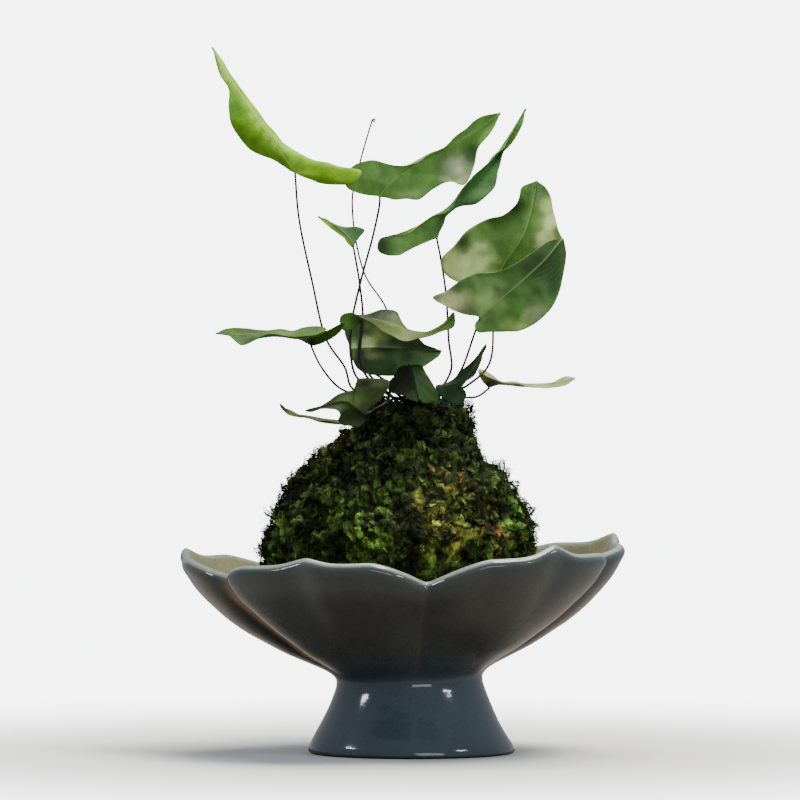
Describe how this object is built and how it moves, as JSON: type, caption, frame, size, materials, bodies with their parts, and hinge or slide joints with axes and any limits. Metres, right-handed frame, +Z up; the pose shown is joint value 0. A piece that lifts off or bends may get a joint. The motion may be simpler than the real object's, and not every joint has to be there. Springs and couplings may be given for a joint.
{
  "type": "kokedama moss ball with a heart fern in a footed bowl",
  "caption": "Heart fern growing from a moss-wrapped ball of soil that rests in a glazed, petal-rimmed bowl on a foot.",
  "frame": {"origin": "on the surface that the foot stands on, under the middle of the overall box", "axes": "+Z up, -Y towards the front of the object, +X to its right as seen from the front"},
  "size_m": [0.1607, 0.1619, 0.2568],
  "materials": {
    "celadon_glaze": "gloss",
    "moss": "matte",
    "soil": "matte",
    "rhizome": "matte",
    "stem": "satin",
    "leaf": "satin",
    "young_leaf": "satin"
  },
  "bodies": {
    "root": {"blade_dark_right": "leaf", "blade_drooping_left": "leaf", "blade_far_left": "leaf", "blade_far_right": "leaf", "blade_front": "leaf", "blade_low_left": "leaf", "blade_lower_right": "leaf", "blade_middle": "leaf", "blade_shaded": "leaf", "blade_small_middle": "young_leaf", "blade_tall_right": "leaf", "blade_top_left": "young_leaf", "blade_top_middle": "leaf", "blade_upper_right": "leaf", "footed_bowl": "celadon_glaze", "moss_jacket": "moss", "rhizome": "rhizome", "soil_ball": "soil", "stem_dark_right": "stem", "stem_drooping_left": "stem", "stem_far_left": "stem", "stem_far_right": "stem", "stem_front": "stem", "stem_low_left": "stem", "stem_lower_right": "stem", "stem_middle": "stem", "stem_shaded": "stem", "stem_small_middle": "stem", "stem_tall_right": "stem", "stem_top_left": "stem", "stem_top_middle": "stem", "stem_upper_right": "stem", "young_frond": "stem"}
  },
  "joints": []
}
